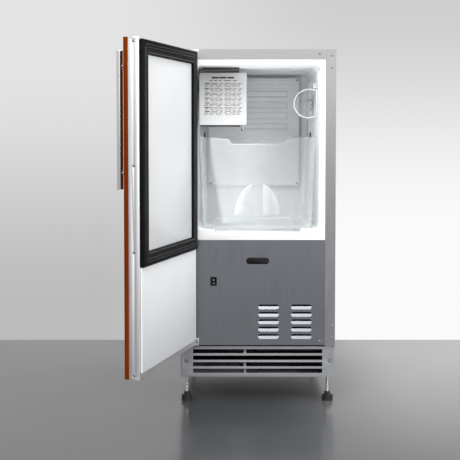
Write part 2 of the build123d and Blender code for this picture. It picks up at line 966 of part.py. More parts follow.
def door_frame():
    """The steel tray of the door: front skin, edges, rear flange and middle rail."""
    wall = 1.2
    with BuildPart() as frame:
        with BuildSketch(door_face(n_rear)):
            rectangle((s_hinge, s_free), (door_low, door_high))
        extrude(amount=n_rear - n_front)
        with BuildSketch(door_face(n_rear - 1)):
            rectangle((s_hinge + wall, s_free - wall), (door_low + wall, door_high - wall))
        extrude(amount=n_rear - n_front - 2, mode=Mode.SUBTRACT)
        with BuildSketch(door_face(n_rear + 1)):
            rectangle((s_hinge + 42, s_free - 38), (door_low + 40, 365))
            rectangle((s_hinge + 42, s_free - 38), (425, door_high - 40))
        extrude(amount=3, mode=Mode.SUBTRACT)
        with BuildSketch(door_level(door_low - 1)):
            Circle(5)
        extrude(amount=cabinet_height, mode=Mode.SUBTRACT)
        with BuildSketch(door_edge(s_free + 1)):
            with Locations(*door_screw_places):
                Circle(shank_radius)
        extrude(amount=-4, mode=Mode.SUBTRACT)
    finish(frame, "door_frame")


def door_edge(s):
    """Plane across the open door at s, facing out of its free edge."""
    origin = door_plane.from_local_coords(Vector(s, 0, 0))
    return Plane(origin, x_dir=door_plane.y_dir, z_dir=door_plane.x_dir)


door_screw_places = [(6, z) for z in (158, 415, 595, 851)]


def door_foam_core():
    """The foam that fills the tray, clear of the pivot bushings."""
    with BuildPart() as core:
        with BuildSketch(door_face(n_rear - 1)):
            rectangle((s_hinge + 1.2, s_free - 1.2), (door_low + 1.2, door_high - 1.2))
        extrude(amount=n_rear - n_front - 2)
        for low in (door_low, door_high - 16):
            with BuildSketch(door_level(low)):
                Circle(5)
            extrude(amount=16, mode=Mode.SUBTRACT)
    finish(core, "door_foam_core")


def door_bushings():
    """The plastic bushings that turn on the pivot pins."""
    with BuildPart() as bushings:
        for low in (door_low, door_high - 16):
            with BuildSketch(door_level(low)):
                Circle(5)
                Circle(pin_radius + fit, mode=Mode.SUBTRACT)
            extrude(amount=16)
    finish(bushings, "door_bushings")


def door_wood_panel():
    """The wood panel on the front of the door."""
    with BuildPart() as panel:
        with BuildSketch(door_face(n_front)):
            rectangle((s_hinge, s_free), (door_low, door_high))
        extrude(amount=wood_thickness)
    finish(panel, "door_wood_panel")


def door_slab(label, s, z, thickness):
    """A flat moulded panel on the inside of the door."""
    with BuildPart() as slab:
        with BuildSketch(door_face(n_rear)):
            rectangle(s, z)
        extrude(amount=-thickness)
    finish(slab, label)


def door_gasket():
    """The soft seal around the upper inner panel."""
    left, right = s_hinge + 10, s_free - 1.8
    with BuildPart() as seal:
        with BuildSketch(door_face(n_rear)):
            rectangle((left, right), (gasket_low, gasket_high))
            rectangle(
                (left + gasket_width, right - gasket_width),
                (gasket_low + gasket_width, gasket_high - gasket_width),
                mode=Mode.SUBTRACT,
            )
        extrude(amount=-gasket_depth)
    finish(seal, "door_gasket")


def door_screws():
    """Four pan-head screws in the door's free edge."""
    with BuildPart() as screws:
        with BuildSketch(door_edge(s_free)):
            with Locations(*door_screw_places):
                Circle(head_radius)
        extrude(amount=1.2)
        with BuildSketch(door_edge(s_free)):
            with Locations(*door_screw_places):
                Circle(shank_radius)
        extrude(amount=-1.2)
    finish(screws, "door_screws")


def door_handle():
    """The tall round bar and the two posts that carry it."""
    bar_s, bar_n, bar_radius = 310, -48.4 + 4, 7
    bar_low, bar_high = 542.6, 835.6
    face = n_front - wood_thickness
    with BuildPart() as bar:
        with BuildSketch(door_level(bar_low)):
            with Locations((bar_s, bar_n)):
                Circle(bar_radius)
        extrude(amount=bar_high - bar_low)
        chamfer(bar.edges().filter_by(GeomType.CIRCLE), 0.8)
    finish(bar, "handle_bar")
    with BuildPart() as posts:
        with BuildSketch(door_face(face)):
            with Locations((bar_s, 577.5), (bar_s, 802.5)):
                Circle(3)
        extrude(amount=face - bar_n)
        with BuildSketch(door_face(face)):
            with Locations((bar_s, 577.5), (bar_s, 802.5)):
                Circle(6)
        extrude(amount=1.6)
        with BuildSketch(door_level(bar_low)):
            with Locations((bar_s, bar_n)):
                Circle(bar_radius)
        extrude(amount=bar_high - bar_low, mode=Mode.SUBTRACT)
    finish(posts, "handle_posts")


os.makedirs("parts", exist_ok=True)
for side in (-1, 1):
    side_panel(side)
top_panel()
back_panel()
base_pan()
lower_front_panel()
kick_grille()
cabinet_screws()
liner()
insulation()
compartment_deck()
low_screws = [(-180.5, 192), (-180.5, 161.4), (-151, 153.6)]
hinge_bracket("hinge_bracket_bottom", 143, 200, (143, 161), (143, 146.5), 2.5, low_screws)
top_screws = [(-180, 848.7), (-180, 820), (-149.5, 853.5)]
hinge_bracket("hinge_bracket_top", 812, 863.4, (846, 863.4), (861, 863.4), 1.2, top_screws)
hinge_pins()
switch_bezel()
power_rocker()
front_badge()
ice_mold()
stripper()
ejector()
gearcase()
module_cover()
instruction_label()
fill_cup()
shutoff_arm()
water_line()
evaporator_plate()
scoop_holder()
ice_scoop()
ice_bin()
bin_stop_pins()
compressor()
compressor_grommets()
condenser()
fan_shroud()
fan_motor()
fan_blade()
filter_drier()
refrigerant_lines()
water_valve()
control_box()
power_gland()
for corner, x, y in (
    ("front_left", -foot_x, foot_front_y),
    ("front_right", foot_x, foot_front_y),
    ("rear_left", -foot_x, foot_rear_y),
    ("rear_right", foot_x, foot_rear_y),
):
    foot(corner, x, y)
door_frame()
door_foam_core()
door_bushings()
door_wood_panel()
door_slab("door_upper_panel", (24, 329), (414, 825), 4)
door_slab("door_lower_panel", (s_hinge + 6, s_free - 3), (162, 382), 4)
door_gasket()
door_screws()
door_handle()
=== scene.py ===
import bpy
import bmesh
import json
import math
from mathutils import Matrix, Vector

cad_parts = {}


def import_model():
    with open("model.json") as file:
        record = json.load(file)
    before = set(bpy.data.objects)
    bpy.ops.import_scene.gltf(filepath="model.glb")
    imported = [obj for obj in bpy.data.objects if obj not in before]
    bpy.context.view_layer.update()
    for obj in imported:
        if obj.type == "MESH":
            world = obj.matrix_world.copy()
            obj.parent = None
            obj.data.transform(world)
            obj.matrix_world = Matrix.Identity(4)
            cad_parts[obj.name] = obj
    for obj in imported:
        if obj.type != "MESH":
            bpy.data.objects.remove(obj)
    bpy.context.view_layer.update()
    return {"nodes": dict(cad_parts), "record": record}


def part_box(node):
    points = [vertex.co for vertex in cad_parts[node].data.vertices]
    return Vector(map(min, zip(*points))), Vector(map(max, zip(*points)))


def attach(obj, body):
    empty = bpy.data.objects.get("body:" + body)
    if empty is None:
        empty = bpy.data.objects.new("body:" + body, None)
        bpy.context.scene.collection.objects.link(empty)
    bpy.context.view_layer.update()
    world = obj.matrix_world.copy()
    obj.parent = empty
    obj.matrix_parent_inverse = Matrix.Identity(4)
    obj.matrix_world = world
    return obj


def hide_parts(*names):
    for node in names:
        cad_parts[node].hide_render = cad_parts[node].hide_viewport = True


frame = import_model()
mm = 0.001
nodes = frame["nodes"]


# ---------------------------------------------------------------- materials


class Nodes:
    """A node tree being built, with links and values set as each node is made."""

    prefix = "ShaderNode"

    def node(self, kind, inputs=(), **settings):
        full = kind if kind.startswith(("FunctionNode", "ShaderNode")) else self.prefix + kind
        made = self.tree.nodes.new(full)
        for name, value in settings.items():
            setattr(made, name, value)
        for name, value in dict(inputs).items():
            if isinstance(value, bpy.types.NodeSocket):
                self.tree.links.new(value, made.inputs[name])
            else:
                made.inputs[name].default_value = value
        return made


class Surface(Nodes):
    """A material being built: one Principled shader and the nodes that feed it."""

    def __init__(self, name, color=(0.5, 0.5, 0.5), roughness=0.5, metallic=0.0, **sockets):
        self.material = bpy.data.materials.new(name)
        self.material.use_nodes = True
        self.tree = self.material.node_tree
        self.shader = self.tree.nodes["Principled BSDF"]
        self.set(Base_Color=(*color, 1), Roughness=roughness, Metallic=metallic, **sockets)
        self.place = self.tree.nodes.new("ShaderNodeTexCoord").outputs["Object"]

    def set(self, **sockets):
        for name, value in sockets.items():
            self.shader.inputs[name.replace("_", " ")].default_value = value

    def stretched(self, scale):
        """Object coordinates scaled along each axis."""
        return self.node("Mapping", {"Vector": self.place, "Scale": scale}).outputs[0]

    def noise(self, scale, detail=3.0, stretch=(1, 1, 1), roughness=0.55):
        inputs = {
            "Vector": self.stretched(stretch),
            "Scale": scale,
            "Detail": detail,
            "Roughness": roughness,
        }
        return self.node("TexNoise", inputs).outputs[0]

    def span(self, value, low, high, start=0.0, end=1.0):
        """value from start..end mapped to low..high."""
        inputs = {0: value, 1: start, 2: end, 3: low, 4: high}
        return self.node("MapRange", inputs).outputs[0]

    def eased_span(self, value, start, end):
        """value from start..end mapped to 0..1, easing in and out."""
        inputs = {0: value, 1: start, 2: end, 3: 0.0, 4: 1.0}
        return self.node("MapRange", inputs, interpolation_type="SMOOTHSTEP").outputs[0]

    def ramp(self, value, *stops):
        """Colours along value: each stop is (place, (r, g, b))."""
        made = self.node("ValToRGB", {0: value})
        elements = made.color_ramp.elements
        while len(elements) < len(stops):
            elements.new(0.5)
        for element, (place, color) in zip(elements, stops):
            element.position = place
            element.color = (*color, 1)
        return made.outputs[0]

    def color(self, socket):
        self.tree.links.new(socket, self.shader.inputs["Base Color"])

    def roughness(self, socket):
        self.tree.links.new(socket, self.shader.inputs["Roughness"])

    def bump(self, height, distance, strength=1.0):
        inputs = {"Height": height, "Distance": distance, "Strength": strength}
        made = self.node("Bump", inputs)
        self.tree.links.new(made.outputs[0], self.shader.inputs["Normal"])


def brushed(name, light, dark, roughness, stretch):
    """Brushed steel: fine streaks along one axis in colour, gloss and height."""
    surface = Surface(name, light, roughness, 1.0)
    streaks = surface.noise(620, 4, stretch)
    cloud = surface.span(surface.noise(7, 2), 0.42, 0.58)
    uneven = surface.node("Math", {0: streaks, 1: cloud}, operation="ADD").outputs[0]
    surface.color(surface.ramp(surface.span(uneven, 0.0, 1.0, 0.75, 1.25), (0, dark), (1, light)))
    surface.roughness(surface.span(uneven, roughness - 0.05, roughness + 0.07, 0.7, 1.3))
    surface.bump(streaks, 0.00002, 0.35)
    return surface.material


def moulded(name, color, roughness=0.35, grain=900, depth=0.00004, shade=0.94, gloss=0.5):
    """Moulded plastic or rubber: a fine skin texture and slight shade differences."""
    surface = Surface(name, color, roughness, Specular_IOR_Level=gloss)
    darker = tuple(shade * c for c in color)
    cloud = surface.noise(9, 3)
    surface.color(surface.ramp(cloud, (0.35, darker), (0.65, color)))
    skin = surface.noise(grain, 2)
    surface.roughness(surface.span(skin, roughness - 0.05, roughness + 0.06, 0.3, 0.7))
    surface.bump(skin, depth, 0.5)
    return surface.material


def painted(name, color, roughness=0.45):
    """Painted or plated sheet with a faint orange peel."""
    return moulded(name, color, roughness, grain=350, depth=0.00005, shade=0.9)


def wood():
    """Stained wood: long figure with fine pores, upright on the door."""
    surface = Surface("door_wood", (0.15, 0.02, 0.0006), 0.6, Specular_IOR_Level=0.02)
    figure = surface.noise(16, 6, (1.0, 1.0, 0.07), 0.6)
    pores = surface.noise(260, 3, (1, 1, 0.03))
    grain = surface.noise(110, 4, (1, 1, 0.02))
    grained = surface.node(
        "Math", {0: grain, 1: 0.4, 2: figure}, operation="MULTIPLY_ADD"
    ).outputs[0]
    surface.color(
        surface.ramp(
            grained,
            (0.52, (0.088, 0.0112, 0.0003)),
            (0.69, (0.135, 0.0185, 0.0005)),
            (0.86, (0.178, 0.028, 0.0008)),
        )
    )
    surface.roughness(surface.span(pores, 0.34, 0.55, 0.3, 0.7))
    surface.bump(pores, 0.00008, 0.5)
    return surface.material


def clear(name, tint=(0.985, 0.99, 0.99), haze=0.06):
    """Clear moulded plastic: see-through face on, whiter and shinier at a slant."""
    surface = Surface(name, (0.92, 0.94, 0.95), 0.12)
    tree = surface.tree
    slant = surface.node("LayerWeight", {"Blend": 0.32}).outputs["Facing"]
    cloud = surface.span(surface.noise(40, 2), 0.9, 1.1, 0.3, 0.7)
    solid = surface.span(slant, haze, 0.62)
    solid = surface.node("Math", {0: solid, 1: cloud}, operation="MULTIPLY").outputs[0]
    window = surface.node("BsdfTransparent", {"Color": (*tint, 1)}).outputs[0]
    mix = surface.node("MixShader", {0: solid, 1: window, 2: surface.shader.outputs[0]})
    tree.links.new(mix.outputs[0], tree.nodes["Material Output"].inputs["Surface"])
    surface.bump(surface.noise(90, 2), 0.00006, 0.4)
    return surface.material


def printed_paper():
    """White label stock with a faint fibre."""
    return moulded("label_paper", (0.5, 0.5, 0.5), 0.6, grain=500, depth=0.00002)


def cast(name, color):
    """Sand-cast aluminium."""
    surface = Surface(name, color, 0.5, 0.8)
    grain = surface.noise(240, 4)
    surface.color(surface.ramp(grain, (0.3, tuple(0.7 * c for c in color)), (0.7, color)))
    surface.roughness(surface.span(grain, 0.4, 0.65, 0.3, 0.7))
    surface.bump(grain, 0.0002, 0.6)
    return surface.material


# Which way the brushing runs: the noise is drawn out along one axis.
upright, across, inward = (1, 1, 0.02), (0.02, 1, 1), (1, 0.02, 1)
looks = {
    "cabinet_steel": brushed("cabinet_steel", (0.44, 0.44, 0.45), (0.37, 0.37, 0.38), 0.3, upright),
    "plated_steel": painted("plated_steel", (0.42, 0.43, 0.44), 0.4),
    "service_steel": brushed(
        "service_steel", (0.28, 0.29, 0.315), (0.24, 0.25, 0.275), 0.3, upright
    ),
    "toe_steel": painted("toe_steel", (0.25, 0.255, 0.27), 0.34),
    "screw_steel": brushed("screw_steel", (0.34, 0.34, 0.35), (0.24, 0.24, 0.25), 0.4, across),
    "liner_white": moulded("liner_white", (0.83, 0.84, 0.85), 0.3, 260, 0.00006, 0.97),
    "foam": moulded("foam", (0.75, 0.66, 0.4), 0.8, 500, 0.0004),
    "hinge_steel": brushed("hinge_steel", (0.5, 0.5, 0.5), (0.38, 0.38, 0.38), 0.35, across),
    "cold_aluminium": painted("cold_aluminium", (0.8, 0.81, 0.83), 0.3),
    "switch_black": moulded("switch_black", (0.008, 0.008, 0.008), 0.45, gloss=0.3),
    "rocker_black": moulded("rocker_black", (0.006, 0.006, 0.006), 0.25, gloss=0.3),
    "badge_black": moulded("badge_black", (0.004, 0.004, 0.004), 0.3, gloss=0.25),
    "mold_aluminium": cast("mold_aluminium", (0.1, 0.1, 0.11)),
    "gearcase_black": moulded("gearcase_black", (0.03, 0.03, 0.032), 0.4),
    "module_grey": moulded("module_grey", (0.5, 0.51, 0.52), 0.45),
    "cover_white": moulded("cover_white", (0.5, 0.505, 0.51), 0.4),
    "label_paper": printed_paper(),
    "wire_steel": brushed("wire_steel", (0.6, 0.6, 0.6), (0.45, 0.45, 0.45), 0.25, inward),
    "clear_plastic": clear("clear_plastic"),
    "pin_black": moulded("pin_black", (0.012, 0.012, 0.012), 0.6),
    "compressor_black": painted("compressor_black", (0.012, 0.012, 0.013), 0.35),
    "condenser_metal": painted("condenser_metal", (0.02, 0.02, 0.021), 0.45),
    "fan_plastic": moulded("fan_plastic", (0.05, 0.05, 0.055), 0.45),
    "copper": brushed("copper", (0.75, 0.38, 0.22), (0.5, 0.22, 0.12), 0.3, across),
    "valve_plastic": moulded("valve_plastic", (0.05, 0.12, 0.4), 0.35),
    "tube_white": moulded("tube_white", (0.8, 0.8, 0.8), 0.35),
    "gland_black": moulded("gland_black", (0.012, 0.012, 0.012), 0.5),
    "foot_steel": brushed("foot_steel", (0.7, 0.7, 0.7), (0.5, 0.5, 0.5), 0.25, across),
    "foot_black": moulded("foot_black", (0.012, 0.012, 0.013), 0.55),
    "door_steel": brushed("door_steel", (0.86, 0.86, 0.87), (0.79, 0.79, 0.8), 0.5, upright),
    "door_wood": wood(),
    "door_white": moulded("door_white", (0.71, 0.72, 0.73), 0.32, 260, 0.00005, 0.98),
    "gasket_black": moulded("gasket_black", (0.0035, 0.0035, 0.004), 0.5, 500, gloss=0.08),
    "handle_steel": brushed("handle_steel", (0.72, 0.72, 0.73), (0.6, 0.6, 0.61), 0.2, upright),
}
slot_of = {row["node"]: row["material_slot"] for row in frame["record"]["subparts"]}
body_of = {n: body for body, names in frame["record"]["behaviour"]["bodies"].items() for n in names}


# ---------------------------------------------------------------- helpers


def dress(piece, slot):
    """Give a piece the one look of the given slot."""
    piece.data.materials.clear()
    piece.data.materials.append(looks[slot])
    return piece


def placed(name, mesh, slot, body, *replaced):
    """Link a finished mesh as a piece on a body."""
    piece = bpy.data.objects.new(name, mesh)
    bpy.context.scene.collection.objects.link(piece)
    dress(piece, slot)
    if replaced:
        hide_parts(*replaced)
    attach(piece, body)
    return piece


def plain(source):
    """The evaluated object as a plain mesh; the source goes."""
    bpy.context.view_layer.update()
    graph = bpy.context.evaluated_depsgraph_get()
    mesh = bpy.data.meshes.new_from_object(source.evaluated_get(graph))
    bpy.data.objects.remove(source)
    return mesh


def smoothed(mesh, angle=35):
    """Smooth shading with the hard corners kept."""
    mesh.shade_smooth()
    mesh.set_sharp_from_angle(angle=math.radians(angle))
    return mesh


def eased(node, width, segments=2, angle=30):
    """A CAD node's shape with its hard edges eased, as a piece in its place."""
    source = bpy.data.objects.new("source", nodes[node].data.copy())
    bpy.context.scene.collection.objects.link(source)
    work = bmesh.new()
    work.from_mesh(source.data)
    bmesh.ops.remove_doubles(work, verts=work.verts, dist=0.000002)
    bmesh.ops.dissolve_limit(
        work, angle_limit=math.radians(0.5), verts=work.verts, edges=work.edges
    )
    for face in work.faces:
        face.smooth = True
    work.to_mesh(source.data)
    work.free()
    bevel = source.modifiers.new("ease", "BEVEL")
    bevel.width = width
    bevel.segments = segments
    bevel.limit_method = "ANGLE"
    bevel.angle_limit = math.radians(angle)
    bevel.harden_normals = True
    return placed(node + "_eased", plain(source), slot_of[node], body_of[node], node)


class Pattern(Nodes):
    """A Geometry Nodes tree with named sizes, grown on points and kept as a plain mesh."""

    prefix = "GeometryNode"
    kinds = {float: "NodeSocketFloat", int: "NodeSocketInt", tuple: "NodeSocketVector"}

    def __init__(self, name, **sizes):
        self.tree = bpy.data.node_groups.new(name, "GeometryNodeTree")
        sockets = self.tree.interface
        sockets.new_socket("Points", in_out="INPUT", socket_type="NodeSocketGeometry")
        sockets.new_socket("Finish", in_out="INPUT", socket_type="NodeSocketMaterial")
        for size, value in sizes.items():
            made = sockets.new_socket(size, in_out="INPUT", socket_type=self.kinds[type(value)])
            made.default_value = value
        sockets.new_socket("Mesh", in_out="OUTPUT", socket_type="NodeSocketGeometry")
        self.size = self.tree.nodes.new("NodeGroupInput").outputs

    def math(self, operation, a, b):
        return self.node("ShaderNodeMath", {0: a, 1: b}, operation=operation).outputs[0]

    def vector(self, x=0.0, y=0.0, z=0.0):
        return self.node("ShaderNodeCombineXYZ", {0: x, 1: y, 2: z}).outputs[0]

    def join(self, *parts):
        made = self.node("JoinGeometry")
        for part in parts:
            self.tree.links.new(part, made.inputs[0])
        return made.outputs[0]

    def on_points(self, shape, **inputs):
        return self.node(
            "InstanceOnPoints", {"Points": self.size["Points"], "Instance": shape, **inputs}
        ).outputs[0]

    def end(self, shape):
        real = self.node("RealizeInstances", {0: shape}).outputs[0]
        made = self.node("SetMaterial", {"Geometry": real, "Material": self.size["Finish"]})
        output = self.tree.nodes.new("NodeGroupOutput")
        self.tree.links.new(made.outputs[0], output.inputs[0])

    def grow(self, name, points, finish, slot, body, *replaced, angle=35, **sizes):
        mesh = bpy.data.meshes.new(name)
        mesh.from_pydata([Vector(p) * mm for p in points], [], [])
        source = bpy.data.objects.new("source", mesh)
        bpy.context.scene.collection.objects.link(source)
        growth = source.modifiers.new("growth", "NODES")
        growth.node_group = self.tree
        values = {"Finish": finish, **sizes}
        for item in self.tree.interface.items_tree:
            if item.in_out == "INPUT" and item.name in values:
                growth[item.identifier] = values[item.name]
        mesh = smoothed(plain(source), angle)
        piece = bpy.data.objects.new(name, mesh)
        bpy.context.scene.collection.objects.link(piece)
        if replaced:
            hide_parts(*replaced)
        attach(piece, body)
        return piece


crosswise_steel = brushed(
    "cabinet_steel_crosswise", (0.4, 0.4, 0.41), (0.33, 0.33, 0.34), 0.48, across
)
for name, piece in nodes.items():
    piece.data.materials.clear()
    look = crosswise_steel if name == "top_panel" else looks[slot_of[name]]
    piece.data.materials.append(look)

# How far each node's hard edges are eased, in millimetres.
eased_widths = {
    "kick_grille": 0.5, "liner": 0.9,
    "hinge_bracket_bottom": 0.5, "hinge_bracket_top": 0.3,
    "switch_bezel": 0.4, "power_rocker": 0.5, "front_badge": 0.3,
    "gearcase": 1.0, "stripper": 0.3, "fill_cup": 0.5, "scoop_holder": 0.6,
    "door_frame": 0.4, "door_wood_panel": 0.8, "door_upper_panel": 1.5,
    "door_lower_panel": 1.5, "door_gasket": 2.0, "ice_bin": 0.5, "ice_scoop": 0.4,
    "control_box": 0.5, "water_valve": 0.6, "power_gland": 0.4,
}
for name, width in eased_widths.items():
    eased(name, width * mm)


# ---------------------------------------------------------------- fasteners and feet


def recessed_screw():
    """A domed screw head on a washer, with a cross recess."""
    tree = Pattern("recessed_screw", Radius=0.0026, Height=0.0014, Turn=(0.0, 0.0, 0.0))
    radius, height = tree.size["Radius"], tree.size["Height"]
    dome = tree.node("MeshUVSphere", {"Segments": 28, "Rings": 14, "Radius": radius}).outputs[0]
    flat = tree.math("DIVIDE", height, radius)
    dome = tree.node(
        "Transform", {"Geometry": dome, "Scale": tree.vector(1.0, 1.0, flat)}
    ).outputs[0]
    long, narrow = tree.math("MULTIPLY", radius, 1.15), tree.math("MULTIPLY", radius, 0.26)
    arms = []
    for size in ((long, narrow, radius), (narrow, long, radius)):
        arms.append(tree.node("MeshCube", {"Size": tree.vector(*size)}).outputs[0])
    lift = tree.math("ADD", tree.math("MULTIPLY", radius, 0.5), tree.math("MULTIPLY", height, 0.45))
    cross = tree.node(
        "Transform", {"Geometry": tree.join(*arms), "Translation": tree.vector(0.0, 0.0, lift)}
    ).outputs[0]
    cut = tree.node("MeshBoolean", {"Mesh 1": dome, "Mesh 2": cross}, operation="DIFFERENCE")
    washer = tree.node(
        "MeshCylinder",
        {
            "Vertices": 28,
            "Radius": tree.math("MULTIPLY", radius, 1.22),
            "Depth": tree.math("MULTIPLY", height, 0.3),
        },
    ).outputs[0]
    head = tree.join(cut.outputs[0], washer)
    turned = tree.node("FunctionNodeEulerToRotation", {0: tree.size["Turn"]}).outputs[0]
    tree.end(tree.on_points(head, Rotation=turned))
    return tree


def stud_thread():
    """A rolled thread around a plain core, upwards from each point."""
    tree = Pattern("stud_thread", Radius=0.004, Pitch=0.0016, Length=0.088)
    radius, pitch, length = tree.size["Radius"], tree.size["Pitch"], tree.size["Length"]
    depth = tree.math("MULTIPLY", pitch, 0.34)
    inner = tree.math("SUBTRACT", radius, depth)
    helix = tree.node(
        "CurveSpiral",
        {
            "Resolution": 20,
            "Rotations": tree.math("DIVIDE", length, pitch),
            "Start Radius": inner,
            "End Radius": inner,
            "Height": length,
        },
    ).outputs[0]
    ridge = tree.node("CurvePrimitiveCircle", {"Resolution": 5, "Radius": depth}).outputs[0]
    thread = tree.node("CurveToMesh", {"Curve": helix, "Profile Curve": ridge}).outputs[0]
    core = tree.node(
        "MeshCylinder", {"Vertices": 24, "Radius": inner, "Depth": length}
    ).outputs[0]
    core = tree.node(
        "Transform",
        {
            "Geometry": core,
            "Translation": tree.vector(0.0, 0.0, tree.math("MULTIPLY", length, 0.5)),
        },
    ).outputs[0]
    tree.end(tree.on_points(tree.join(thread, core)))
    return tree


screw = recessed_screw()
towards_front = (math.radians(90), 0.0, 0.0)
hinge_y, flange_y, grille_y, cold_plate_y = -2.65, -0.15, 2.85, 398.35
hinge_screws = [(-180.5, 192), (-180.5, 161.4), (-151, 153.6)]
flange_screws = [(180, 848.7), (180, 820), (180.5, 192), (180.5, 161.4), (149.5, 853.5)]
flange_screws += [(151, 153.6)]
head_places = [(x, flange_y, z) for x, z in flange_screws]
head_places += [(x, hinge_y, z) for x, z in hinge_screws]
head_places += [(x, grille_y, 104) for x in (-176, 176)]
head_places += [(x, cold_plate_y, z) for x in (-121, 121) for z in (521, 809)]
screw.grow(
    "cabinet_screw_heads",
    head_places,
    looks["screw_steel"],
    "screw_steel",
    "cabinet",
    "cabinet_screws",
    Turn=towards_front,
)
back_y = 550.15
back_places = [(x, back_y, z) for x in (-178, 178) for z in (80, 270, 460, 660, 850)]
back_places += [(x, back_y, 850) for x in (-60, 60)]
screw.grow(
    "back_screw_heads",
    back_places,
    looks["screw_steel"],
    "screw_steel",
    "cabinet",
    Turn=(math.radians(-90), 0.0, 0.0),
)
thread = stud_thread()
foot_x, foot_front_y, foot_rear_y, stud_foot_z = 174, 36, 514, 10
for corner, x, y in (
    ("front_left", -foot_x, foot_front_y),
    ("front_right", foot_x, foot_front_y),
    ("rear_left", -foot_x, foot_rear_y),
    ("rear_right", foot_x, foot_rear_y),
):
    thread.grow(
        f"foot_thread_{corner}",
        [(x, y, stud_foot_z)],
        looks["foot_steel"],
        "foot_steel",
        f"foot_{corner}",
        f"foot_stud_{corner}",
        Radius=0.004,
        Length=0.088,
    )


# ---------------------------------------------------------------- door


# The door stands open on its pivot: one unit vector along its width, one into the cabinet.
pivot = Vector((-173, -30, 0))
along = Vector((-0.2756, -0.9613, 0))
inwards = Vector((0.9613, -0.2756, 0))


def on_door(s, n, z):
    """A point from the door's own measures: s along its width, n towards the cabinet."""
    return pivot + s * along + n * inwards + Vector((0, 0, z))


door_turn = (math.radians(90), 0.0, math.atan2(along.x, -along.y))
free_edge, edge_screw_depth = 360.6, 6
screw.grow(
    "door_screw_heads",
    [on_door(free_edge, edge_screw_depth, z) for z in (158, 415, 595, 851)],
    looks["screw_steel"],
    "screw_steel",
    "door",
    "door_screws",
    Turn=door_turn,
)


def seal_bead():
    """A round bead that runs around a rounded rectangle standing on X and Z."""
    tree = Pattern(
        "seal_bead", Width=0.3, Height=0.4, Corner=0.01, Thick=0.001, Turn=(0.0, 0.0, 0.0)
    )
    size = tree.size
    path = tree.node(
        "CurvePrimitiveQuadrilateral", {"Width": size["Width"], "Height": size["Height"]}
    ).outputs[0]
    path = tree.node(
        "FilletCurve", {"Curve": path, "Count": 6, "Radius": size["Corner"]}, mode="POLY"
    ).outputs[0]
    round_bead = tree.node(
        "CurvePrimitiveCircle", {"Resolution": 10, "Radius": size["Thick"]}
    ).outputs[0]
    bead = tree.node("CurveToMesh", {"Curve": path, "Profile Curve": round_bead}).outputs[0]
    turned = tree.node("FunctionNodeEulerToRotation", {0: size["Turn"]}).outputs[0]
    tree.end(tree.on_points(bead, Rotation=turned))
    return tree


bead = seal_bead()
gasket_lip = moulded("gasket_lip", (0.012, 0.012, 0.013), 0.3, 500, gloss=0.4)
gasket_start, gasket_end, gasket_foot, gasket_top = -6, 358.7, 384, 855
gasket_across, gasket_up = (gasket_start + gasket_end) / 2, (gasket_foot + gasket_top) / 2
upright_on_door = (math.radians(90), 0.0, math.atan2(along.y, along.x))
# Each rib: its distance in from the gasket's edge, its height off the door, its radius.
ribs = ((3, 26.9, 1.1), (9, 27.9, 0.8), (15, 27.9, 0.8), (26, 27.4, 1.2))
for number, (inset, n, thick) in enumerate(ribs):
    bead.grow(
        f"gasket_bead_{number + 1}",
        [on_door(gasket_across, n, gasket_up)],
        gasket_lip,
        "gasket_black",
        "door",
        angle=60,
        Width=(364.7 - 2 * inset) * mm,
        Height=(471 - 2 * inset) * mm,
        Corner=max(14 - 0.4 * inset, 4) * mm,
        Thick=thick * mm,
        Turn=upright_on_door,
    )


# ---------------------------------------------------------------- label


def greeked_words():
    """Rows of plain bars, like set text seen from afar: no letters."""
    tree = Pattern(
        "greeked_words",
        Rows=3,
        Words=8,
        Pitch=0.0034,
        Word=0.011,
        Thick=0.0009,
        Shortest=0.45,
        Seed=1,
        Turn=(0.0, 0.0, 0.0),
    )
    size = tree.size
    width = tree.math("MULTIPLY", size["Word"], tree.math("SUBTRACT", size["Words"], 1.0))
    height = tree.math("MULTIPLY", size["Pitch"], tree.math("SUBTRACT", size["Rows"], 1.0))
    grid = tree.node(
        "MeshGrid",
        {
            "Size X": width,
            "Size Y": height,
            "Vertices X": size["Words"],
            "Vertices Y": size["Rows"],
        },
    ).outputs[0]
    share = tree.node(
        "FunctionNodeRandomValue", {2: size["Shortest"], 3: 0.94, 8: size["Seed"]}
    ).outputs[1]
    shift = tree.node(
        "FunctionNodeRandomValue", {2: -0.3, 3: 0.3, 8: tree.math("ADD", size["Seed"], 5.0)}
    ).outputs[1]
    shift = tree.vector(tree.math("MULTIPLY", shift, size["Word"]))
    grid = tree.node("SetPosition", {"Geometry": grid, "Offset": shift}).outputs[0]
    bar = tree.node("MeshCube", {"Size": (1.0, 1.0, 0.00006)}).outputs[0]
    length = tree.math("MULTIPLY", share, size["Word"])
    bars = tree.node(
        "InstanceOnPoints",
        {"Points": grid, "Instance": bar, "Scale": tree.vector(length, size["Thick"], 1.0)},
    ).outputs[0]
    turned = tree.node("FunctionNodeEulerToRotation", {0: size["Turn"]}).outputs[0]
    tree.end(tree.on_points(bars, Rotation=turned))
    return tree


